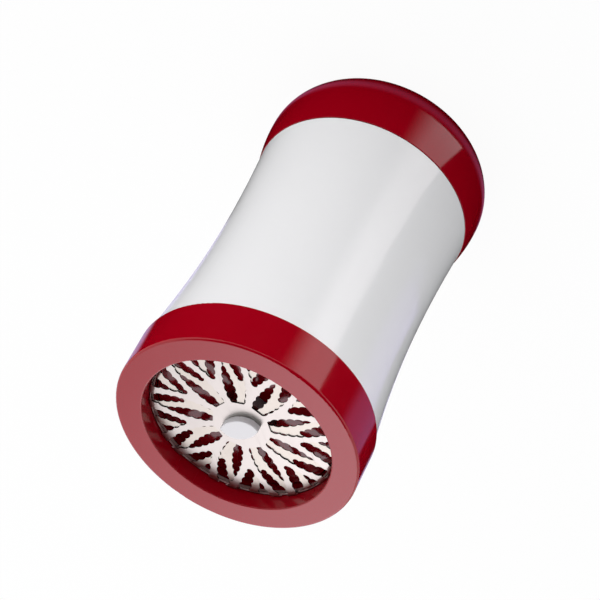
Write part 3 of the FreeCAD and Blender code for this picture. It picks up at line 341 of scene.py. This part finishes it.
def rolled_steel(name, rgb, lower_rgb, roughness):
    """Bright rolled sheet: rolling grain, polish haze, fine marks, painted shade on the cut edges, a
    painted reflection on the cup's walls, soft rim.
    """
    grain_scale, grain_turn, grain_depth = (3800.0, 40.0, 400.0), 0.42, 0.8 * MICRON
    cloud_scale, cloud_shade, cloud_share = 95.0, 0.5, 0.05
    scratch_density, scratch_shade, scratch_share, scratch_depth = 4200.0, 0.8, 0.15, 0.4 * MICRON
    parting_share, parting_softness = 0.05, 10 * MICRON
    cut_edge_painted_shade, wall_painted_reflection, wall_dullness = 0.07, (0.75, 0.5, 0.49), 0.8
    grain_matt, cloud_matt, scratch_matt = 0.05, 0.05, 0.1
    edge_inside_rim, edge_softness = 0.15 * MM, 0.1 * MM
    fall_inside_rim, fall_width, fall_depth = 1.1 * MM, 2.0 * MM, 0.95 * MM
    material, graph = new_material(name)
    where = graph.place()
    grain = graph.noise(graph.place(scale=grain_scale, turn=(0, 0, grain_turn)), 1.0,
                        detail=3.0, roughness=0.7)
    cloud = graph.noise(where, cloud_scale, detail=3.0)
    marks = scratches(graph, (0.9, 2.0, 2.9), scratch_density, thinness=0.71)

    # The lower blade has its own tone, parted from the upper one by height
    upper_top, lower_top = (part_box(blade)[1].z for blade in ("outer_blade", "inner_blade"))
    parting = lower_top + (upper_top - lower_top) * parting_share
    upper = where.part("Z").above(parting, parting_softness)
    tone = graph.blend(upper, rgba(lower_rgb), rgba(rgb))
    tone = graph.blend(cloud * cloud_share, tone, rgba(rgb, cloud_shade))
    base = graph.blend(marks * scratch_share, tone, rgba(rgb, scratch_shade))

    # Painted shade: the slots' cut edges are darkened where their shadow and dark reflection fall;
    # the cup's walls beyond the rim get a painted brownish-red reflection and are dull
    rim = face_radii("outer_blade")[1]
    level = graph.add("NewGeometry", output="Normal").part("Z").maths("ABSOLUTE")
    past_rim = graph.reach().above(rim - edge_inside_rim, edge_softness)
    uncut = level.maths("MAXIMUM", past_rim).above(0.4, softness=0.12)
    # Painted shade on the cut edges
    base = graph.blend(uncut, rgba(rgb, cut_edge_painted_shade), base)
    wall = past_rim * (1 - level.above(0.6, softness=0.3))
    # Painted reflection of the red ring on the cup's walls
    base = graph.blend(wall, base, rgba(wall_painted_reflection))
    haze = cloud.above(0.58, softness=0.12)
    rough = roughness + (grain - 0.5) * grain_matt + haze * cloud_matt + marks * scratch_matt

    # The face falls off softly towards its pressed rim
    fall = (graph.reach() - (rim - fall_inside_rim)) * (1 / fall_width)
    fall = fall.maths("MAXIMUM", 0.0)
    normal = graph.bump(1 - fall * fall, fall_depth)
    normal = graph.bump(grain, grain_depth, under=normal)
    normal = graph.bump(1 - marks, scratch_depth, under=normal)
    graph.surface(graph.add("BsdfPrincipled", None, {
        "Base Color": base, "Metallic": 1 - wall * wall_dullness,
        "Roughness": rough, "Normal": normal}))


def face_radii(node):
    """The least and the greatest radius of a node's top face."""
    flatness = 10 * MICRON
    verts = NODES[node].data.vertices
    top = max(vert.co.z for vert in verts)
    radii = [vert.co.xy.length for vert in verts if top - vert.co.z < flatness]
    return min(radii), max(radii)


def drawn_steel(name, rgb, roughness, heat=0.0):
    """Drawn or coiled steel: draw lines, an oil film and, on springs, a straw tint."""
    line_scale, cloud_scale, line_depth = (5200.0, 5200.0, 90.0), 160.0, 3 * MICRON
    straw, film_shade = (0.9, 0.74, 0.52), 0.9
    film_matt, line_matt = 0.16, 0.08
    material, graph = new_material(name)
    lines = graph.noise(graph.place(scale=line_scale), 1.0, detail=2.0)
    cloud = graph.noise(graph.place(), cloud_scale, detail=4.0, roughness=0.6)
    heated = [part * (1 - heat * (1 - tint)) for part, tint in zip(rgb, straw)]
    base = graph.blend(cloud.above(0.5, softness=0.2), rgba(rgb, film_shade), rgba(heated))
    rough = roughness + cloud * film_matt + (lines - 0.5) * line_matt
    graph.surface(graph.add("BsdfPrincipled", None, {
        "Base Color": base, "Metallic": 1.0, "Roughness": rough,
        "Normal": graph.bump(lines, line_depth)}))


def soft_rubber(name, rgb):
    """Matt moulded rubber with a faint bloom and a fine skin."""
    bloom_scale, bloom_shade, bloom_share = 210.0, 2.2, 0.35
    skin_scale, skin_depth = 2600.0, 8 * MICRON
    matt, bloom_matt = 0.58, 0.2
    material, graph = new_material(name)
    where = graph.place()
    bloom = graph.noise(where, bloom_scale, detail=4.0).above(0.55, softness=0.18)
    skin = graph.noise(where, skin_scale, detail=2.0)
    graph.surface(graph.add("BsdfPrincipled", None, {
        "Base Color": graph.blend(bloom * bloom_share, rgba(rgb), rgba(rgb, bloom_shade)),
        "Roughness": matt + bloom * bloom_matt, "Normal": graph.bump(skin, skin_depth)}))


def make_materials():
    """Every finish of the mill, by its slot in the record."""
    values = bpy.context.scene.mill_finish
    # The red gets painted shade in the ring's mouth and on the cap
    moulded("red_gloss", values.red, values.red_roughness, grain=1.6 * MICRON,
            shade=painted_red_shade, matt=mouth_matt)
    moulded("white_gloss", values.white, values.white_roughness, grain=1.4 * MICRON, flow=0.012)
    moulded("white_satin", values.satin, roughness=0.3, grain=4 * MICRON, flow=0.015)
    moulded("slip_plastic", values.slip, roughness=0.42, grain=5 * MICRON, flow=0.04)
    rolled_steel("blade_steel", values.steel, values.lower_steel, values.steel_roughness)
    drawn_steel("rod_steel", values.rod, roughness=0.2)
    drawn_steel("spring_steel", values.spring, roughness=0.26, heat=0.5)
    soft_rubber("soft_rubber", values.rubber)


def finish_named(name):
    """A finish that has been made, by its slot's name."""
    return bpy.data.materials[name]


def paint(nodes, material):
    """Gives CAD nodes a finish."""
    for node in nodes:
        slots = NODES[node].data.materials
        slots.clear()
        slots.append(material)


# Mesh helpers
SMOOTH_BELOW = 40.0


def piece_from(bm, name, body, slot, *replaced):
    """Turns a bmesh into a piece that rides on a body and stands for CAD nodes."""
    bmesh.ops.remove_doubles(bm, verts=bm.verts, dist=MICRON)
    bmesh.ops.recalc_face_normals(bm, faces=bm.faces)
    mesh = bpy.data.meshes.new(name)
    bm.to_mesh(mesh)
    bm.free()
    mesh.polygons.foreach_set("use_smooth", [True] * len(mesh.polygons))
    mesh.set_sharp_from_angle(angle=math.radians(SMOOTH_BELOW))
    mesh.materials.append(finish_named(slot))
    piece = bpy.data.objects.new(name, mesh)
    bpy.context.scene.collection.objects.link(piece)
    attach(piece, body)
    if replaced:
        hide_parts(*replaced)
    return piece


def edges_of(parts):
    """The edges among the parts of a bmesh."""
    return [part for part in parts if isinstance(part, bmesh.types.BMEdge)]


def outline(bm, points):
    """A closed outline in the XZ plane, as vertices and edges."""
    verts = [bm.verts.new((across, 0.0, up)) for across, up in points]
    edges = [bm.edges.new((verts[i - 1], verts[i])) for i in range(len(verts))]
    return verts + edges


def rounded(points, radius, steps=4):
    """An outline with each corner cut to a small arc."""
    longest_cut = 0.45
    result = []
    count = len(points)
    for i in range(count):
        before, corner, after = (Vector(points[(i + k) % count]) for k in (-1, 0, 1))
        back, on = (before - corner), (after - corner)
        cut = min(radius, back.length * longest_cut, on.length * longest_cut)
        first = corner + back.normalized() * cut
        last = corner + on.normalized() * cut
        for step in range(steps + 1):
            t = step / steps
            point = first * (1 - t) ** 2 + corner * (2 * t * (1 - t)) + last * t ** 2
            result.append(tuple(point))
    return result


def lathe(points, steps=160):
    """A ring turned from a closed outline about the mill's axis."""
    bm = bmesh.new()
    bmesh.ops.spin(bm, geom=outline(bm, points), axis=(0, 0, 1), cent=(0, 0, 0),
                   angle=math.tau, steps=steps, use_merge=True, use_duplicate=False)
    return bm


# Operators
class MILL_OT_casing(bpy.types.Operator):
    """Finish the barrel, the cap, the blade ring and the herb chamber"""
    bl_idname = "mill.casing"
    bl_label = "Casing"

    def execute(self, context):
        paint(["barrel_shell"], finish_named("white_gloss"))
        paint(["cap_shell", "blade_ring", "chamber", "plunger"], finish_named("red_gloss"))
        return {"FINISHED"}


class MILL_OT_cutter(bpy.types.Operator):
    """Finish the two blades, their hub and its washers"""
    bl_idname = "mill.cutter"
    bl_label = "Blades and hub"

    def execute(self, context):
        paint(["outer_blade", "inner_blade"], finish_named("blade_steel"))
        paint(["blade_hub"], finish_named("white_satin"))
        paint(["disc_spring", "thrust_washer", "hub_clip"], finish_named("spring_steel"))
        return {"FINISHED"}


class MILL_OT_drive(bpy.types.Operator):
    """Finish the spindle, the core, the collar and the fasteners"""
    bl_idname = "mill.drive"
    bl_label = "Drive"

    def execute(self, context):
        paint(["spindle", "spindle_screw", "cap_screws"], finish_named("rod_steel"))
        paint(["cap_core", "collar"], finish_named("white_satin"))
        paint(["bearing_washer"], finish_named("slip_plastic"))
        paint(["plunger_stop"], finish_named("spring_steel"))
        return {"FINISHED"}


class MILL_OT_spring(bpy.types.Operator):
    """Wind the plunger spring"""
    bl_idname = "mill.spring"
    bl_label = "Plunger spring"

    turn_steps = 40
    wire_sides = 14

    def execute(self, context):
        sizes = context.scene.mill_sizes
        low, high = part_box("plunger_spring")
        wire = sizes.wire
        radius = high.x - wire / 2
        closed = wire * sizes.closed_pitch
        pitch = (high.z - low.z - 2 * closed) / sizes.turns
        bm = bmesh.new()
        upright = Matrix.Rotation(math.pi / 2, 4, "X")
        bmesh.ops.create_circle(
            bm, segments=self.wire_sides, radius=wire / 2,
            matrix=Matrix.Translation((radius, 0, low.z)) @ upright)
        ring = first = bm.verts[:] + bm.edges[:]
        for turns, rise in ((1, closed), (sizes.turns, pitch), (1, closed)):
            spun = bmesh.ops.spin(
                bm, geom=ring, axis=(0, 0, 1), cent=(0, 0, 0),
                dvec=(0, 0, rise / self.turn_steps), angle=math.tau * turns,
                steps=self.turn_steps * turns, use_duplicate=False)
            ring = spun["geom_last"]
        for end in (first, ring):
            bmesh.ops.holes_fill(bm, edges=edges_of(end), sides=self.wire_sides)
        for height, way in ((low.z, -1), (high.z, 1)):
            cut = bmesh.ops.bisect_plane(
                bm, geom=bm.verts[:] + bm.edges[:] + bm.faces[:], plane_co=(0, 0, height),
                plane_no=(0, 0, way), clear_outer=True)
            bmesh.ops.edgeloop_fill(bm, edges=edges_of(cut["geom_cut"]))
        coil = piece_from(bm, "spring_coil", "cap", "spring_steel", "plunger_spring")
        travel = next(j for j in frame["joints"] if j["name"] == "plunger_slide")["range_m"]
        keep = 1 - max(abs(end) for end in travel) / (high.z - low.z)
        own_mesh(coil)
        return {"FINISHED"}


class MILL_OT_seals(bpy.types.Operator):
    """Make the plunger's wiper, the blade gasket and the collar's O-ring"""
    bl_idname = "mill.seals"
    bl_label = "Seals"

    wiper_width = 1.6 * MM
    wiper_round = 0.12 * MM
    gasket_round = 0.15 * MM
    cord_sides = 24

    # The first is counted in lip heights, the second in bead heights
    groove_floor_start = 1.3
    bead_half_width = 4

    def execute(self, context):
        sizes = context.scene.mill_sizes
        self.wiper(sizes)
        self.gasket(sizes)
        self.oring()
        return {"FINISHED"}

    def wiper(self, sizes):
        """Two flared lips with a groove between them, each a third of the height."""
        low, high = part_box("plunger_wiper")
        outer, foot, top = high.x, low.z, high.z
        inner = outer - self.wiper_width
        lip = (top - foot) / 3
        groove_edge = lip * self.groove_floor_start
        flare, groove = sizes.lip_flare, sizes.lip_groove
        points = [(inner, foot), (outer - flare, foot), (outer, foot + lip / 2),
                  (outer - flare, foot + lip), (outer - groove, foot + groove_edge),
                  (outer - groove, top - groove_edge), (outer - flare, top - lip),
                  (outer, top - lip / 2), (outer - flare, top), (inner, top)]
        piece_from(lathe(rounded(points, self.wiper_round)), "wiper_lips", "plunger_unit",
                   "soft_rubber", "plunger_wiper")

    def gasket(self, sizes):
        """A flat ring with a low bead on its upper face."""
        low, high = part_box("blade_gasket")
        hole = min(vert.co.xy.length for vert in NODES["blade_gasket"].data.vertices)
        outer, foot = high.x, low.z
        crest, flat = high.z, high.z - sizes.seal_bead
        middle, spread = (hole + outer) / 2, self.bead_half_width * sizes.seal_bead
        points = [(hole, foot), (outer, foot), (outer, flat), (middle + spread, flat),
                  (middle, crest), (middle - spread, flat), (hole, flat)]
        piece_from(lathe(rounded(points, self.gasket_round)), "sealing_ring", "blade_unit",
                   "soft_rubber", "blade_gasket")

    def oring(self):
        """A ring of round cord."""
        low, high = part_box("collar_oring")
        radius = (high.z - low.z) / 2
        middle = high.x - radius
        points = []
        for side in range(self.cord_sides):
            turn = math.tau * side / self.cord_sides
            across = middle + radius * math.cos(turn)
            points.append((across, low.z + radius + radius * math.sin(turn)))
        piece_from(lathe(points), "cord_ring", "collar_unit", "soft_rubber", "collar_oring")


class MILL_OT_stage(bpy.types.Operator):
    """Set the camera, the floor, the lamps and the room"""
    bl_idname = "mill.stage"
    bl_label = "Stage"

    # A place is a bearing, a height above the horizon and a distance from the mill
    key_place = (-88.0, 8.0, 1.1)
    key_size = (1.4, 0.4)
    front_place = (52.7, 41.0, 0.9)
    front_size = (0.75, 0.75)
    sky_place = (-127.0, 60.0, 1.3)
    card_radius = 0.45

    # Glowing sectors of the floor: name, bearings, hole, colour, level and degrees of fade
    sectors = (
        ("bright_card", (-128, -168.5), 46 * MM, (1.0, 0.94, 0.96), 1.9, -22),
        ("blue_card", (164, 118.5), 90 * MM, (0.35, 0.27, 0.62), 1.0, -14),
        ("lilac_card", (5, 85), 80 * MM, (0.5, 0.45, 0.75), 1.0, 10),
    )

    def execute(self, context):
        values = context.scene.mill_stage
        context.scene.view_settings.view_transform = "Standard"
        self.camera(context, values)
        self.floor(context, values)
        self.room(context, values)
        self.softbox(context, "key_box", self.key_place, self.key_size, values.key)
        self.softbox(context, "front_box", self.front_place, self.front_size, values.front)
        self.cards(context)
        return {"FINISHED"}

    def camera(self, context, values):
        """The photograph's view: the ring's face low at the left, the cap up at the right."""
        data = bpy.data.cameras.new("camera")
        data.sensor_width = 36.0
        data.lens = values.lens
        camera = bpy.data.objects.new("camera", data)
        turn = (Matrix.Rotation(values.azimuth, 3, "Z")
                @ Matrix.Rotation(math.pi / 2 - values.elevation, 3, "X")
                @ Matrix.Rotation(values.roll, 3, "Z"))
        face = Vector((0, 0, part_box("blade_ring")[1].z))
        seen = Vector((values.face_right, values.face_up, -values.face_away))
        camera.matrix_world = Matrix.Translation(face - turn @ seen) @ turn.to_4x4()
        context.scene.collection.objects.link(camera)
        context.scene.camera = camera

    def backdrop_rays(self, graph):
        """1 for rays that should see the white background."""
        camera = graph.add("LightPath", output="Is Camera Ray")
        glossy = graph.add("LightPath", output="Is Glossy Ray")
        clear = graph.add("LightPath", output="Is Transmission Ray")
        return camera.maths("MAXIMUM", glossy).maths("MAXIMUM", clear)

    def floor(self, context, values):
        """A pale floor that shows white and keeps the mill's shadow."""
        near_radius, near_softness, glow_share = 0.15, 0.08, 0.94
        paper_roughness, sides = 0.9, 96
        material, graph = new_material("floor")
        seen = self.backdrop_rays(graph)
        bounce = graph.blend(graph.reach().above(near_radius, near_softness),
                             rgba([values.floor_near] * 3), rgba([values.floor_bounce] * 3))
        grey = graph.blend(seen, bounce, rgba([values.floor_seen] * 3))
        paper = graph.add("BsdfDiffuse", None, {"Color": grey, "Roughness": paper_roughness})
        glow = graph.add("Emission", None, {"Color": (1, 1, 1, 1), "Strength": 1.0})
        graph.surface(graph.add("MixShader", None, {0: seen * glow_share, 1: paper, 2: glow}))
        bm = bmesh.new()
        bmesh.ops.create_circle(bm, cap_ends=True, segments=sides, radius=values.floor_radius)
        self.stage_mesh(context, bm, "floor", material)

    def stage_mesh(self, context, bm, name, material):
        """Turns a bmesh into a part of the stage."""
        mesh = bpy.data.meshes.new(name)
        bm.to_mesh(mesh)
        bm.free()
        mesh.materials.append(material)
        made = bpy.data.objects.new(name, mesh)
        context.scene.collection.objects.link(made)
        return made

    def room(self, context, values):
        """Light that fades from the horizon to overhead, white to the camera and in reflections."""
        camera_side, dimmed, dim_level, dim_softness = bearing_vector(-127.0, 48.0), 0.6, 0.7, 0.25
        world = bpy.data.worlds.new("room")
        world.use_nodes = True
        context.scene.world = world
        graph = Graph(world.node_tree)
        height = graph.place().part("Z").maths("MAXIMUM", 0.0)
        level = values.horizon - height * (values.horizon - values.zenith)
        behind = graph.add("VectorMath", {"operation": "DOT_PRODUCT"}, {
            0: graph.place(), 1: camera_side}, output="Value")
        level = level * (1 - behind.above(dim_level, dim_softness) * dimmed)
        even = graph.add("Background", None, {"Color": (0.97, 0.985, 1.0, 1), "Strength": level})
        white = graph.add("Background", None, {"Color": (1, 1, 1, 1), "Strength": 1.0})
        mixed = graph.add("MixShader", None, {0: self.backdrop_rays(graph), 1: even, 2: white})
        graph.add_output("OutputWorld", mixed)

    def softbox(self, context, name, place, size, level):
        """A lamp that faces the mill, given by the brightness of its face."""
        data = bpy.data.lights.new(name, "AREA")
        data.shape = "RECTANGLE"
        data.size, data.size_y = size
        data.energy = level * math.pi * data.size * data.size_y
        lamp = bpy.data.objects.new(name, data)
        lamp.matrix_world = facing(*place)
        lamp.visible_camera = False
        lamp.visible_glossy = False
        context.scene.collection.objects.link(lamp)

    def cards(self, context):
        """What the gloss mirrors: a dark floor and sky, bright and tinted cards, the front box."""
        dark_height, card_height = 0.5 * MM, 1.5 * MM
        self.floor_card(context, "dark_floor", dark_height, (180, -180), 0, self.foot_glow)
        for name, span, hole, rgb, level, fade in self.sectors:
            glow = self.sector_glow(rgb, level, span[0], fade)
            self.floor_card(context, name, card_height, span, hole, glow)
        dark = card_material("dark_sky")
        self.air_card(context, "dark_sky", dark, self.sky_place, half=1.5)
        front = card_material("front_card", self.front_glow)
        self.air_card(context, "front_card", front, self.front_place, half=0.5)

    def front_glow(self, graph):
        """The front box's face: it grows brighter towards the cap's side of the picture."""
        brightening_bearing, softness, dim_level, rise = 163.0, 0.09, 1.3, 1.35
        azimuth, elevation, distance = self.front_place
        middle = distance * math.cos(math.radians(elevation))
        middle *= math.cos(math.radians(azimuth - brightening_bearing))
        across = graph.place(turn=(0, 0, -math.radians(brightening_bearing))).part("X")
        return (1.0, 0.92, 0.97), dim_level + across.above(middle, softness) * rise

    def foot_glow(self, graph):
        """A faint ring of light round the mill's foot, on black."""
        inner, outer, softness, level = 36 * MM, 43 * MM, 3 * MM, 0.7
        away = graph.reach()
        ring = away.above(inner, softness) * (1 - away.above(outer, softness))
        return (0.5, 0.15, 0.35), ring * level

    def sector_glow(self, rgb, level, start, fade):
        """A glow that rises from a bearing over so many degrees, the sign giving the way."""
        def glow(graph):
            way, half = math.copysign(1, fade), abs(fade) / 2
            return rgb, (graph.bearing(start) * way).above(half, half) * level
        return glow

    def floor_card(self, context, name, height, span, hole, glow):
        """A sector just over the floor, between two bearings."""
        start, end = span
        steps = 48
        bearings = [start + (end - start) * step / steps for step in range(steps + 1)]
        rim = [bearing_vector(bearing, 0) for bearing in bearings]
        corners = [self.card_radius * way for way in rim]
        if hole:
            corners += [hole * way for way in reversed(rim)]
        else:
            corners.pop()
        lift = Vector((0, 0, height))
        self.card(context, name, card_material(name, glow), [corner + lift for corner in corners])

    def air_card(self, context, name, material, place, half):
        """A square card that hangs in the air and faces the mill."""
        stand = facing(*place)
        corners = [stand @ Vector((x * half, y * half, 0))
                   for x, y in ((-1, -1), (1, -1), (1, 1), (-1, 1))]
        self.card(context, name, material, corners)

    def card(self, context, name, material, corners):
        """A flat card that only glossy rays can see."""
        bm = bmesh.new()
        bm.faces.new([bm.verts.new(corner) for corner in corners])
        made = self.stage_mesh(context, bm, name, material)
        for ray in ("camera", "diffuse", "transmission", "volume_scatter", "shadow"):
            setattr(made, "visible_" + ray, False)


def bearing_vector(azimuth, elevation):
    """The direction of a bearing and a height above the horizon, in degrees."""
    flat, up = math.radians(azimuth), math.radians(elevation)
    return Vector((math.cos(flat) * math.cos(up), math.sin(flat) * math.cos(up), math.sin(up)))


def facing(azimuth, elevation, distance):
    """A place round the mill's middle, its Z axis pointing away from the mill."""
    way = bearing_vector(azimuth, elevation)
    middle = (cad_box[0] + cad_box[1]) / 2
    turn = way.to_track_quat("Z", "Y").to_matrix().to_4x4()
    return Matrix.Translation(middle + way * distance) @ turn


def card_material(name, glow=None):
    """A card's material: black, or a glow given as a colour and a level."""
    material, graph = new_material(name)
    rgb, level = glow(graph) if glow else ((0, 0, 0), 0.0)
    graph.surface(graph.add("Emission", None, {"Color": rgba(rgb), "Strength": level}))
    return material


class MILL_PT_panel(bpy.types.Panel):
    """Herb mill pieces"""
    bl_idname = "MILL_PT_panel"
    bl_label = "Herb Mill"
    bl_space_type = "VIEW_3D"
    bl_region_type = "UI"
    bl_category = "Herb Mill"

    def draw(self, context):
        for operator in OPERATORS:
            self.layout.operator(operator.bl_idname)
        for group in GROUPS:
            values = getattr(context.scene, group)
            for name in values.__annotations__:
                self.layout.prop(values, name)


OPERATORS = (MILL_OT_casing, MILL_OT_cutter, MILL_OT_drive, MILL_OT_spring, MILL_OT_seals,
             MILL_OT_stage)
GROUPS = {"mill_finish": MillFinish, "mill_sizes": MillSizes, "mill_stage": MillStage}


def register():
    for item in (*GROUPS.values(), *OPERATORS, MILL_PT_panel):
        bpy.utils.register_class(item)
    for name, group in GROUPS.items():
        setattr(bpy.types.Scene, name, PointerProperty(type=group))


def unregister():
    for name in GROUPS:
        delattr(bpy.types.Scene, name)
    for item in reversed((*GROUPS.values(), *OPERATORS, MILL_PT_panel)):
        bpy.utils.unregister_class(item)


def main():
    register()
    make_materials()
    for operator in OPERATORS:
        group, name = operator.bl_idname.split(".")
        getattr(getattr(bpy.ops, group), name)()


if __name__ == "__main__":
    main()
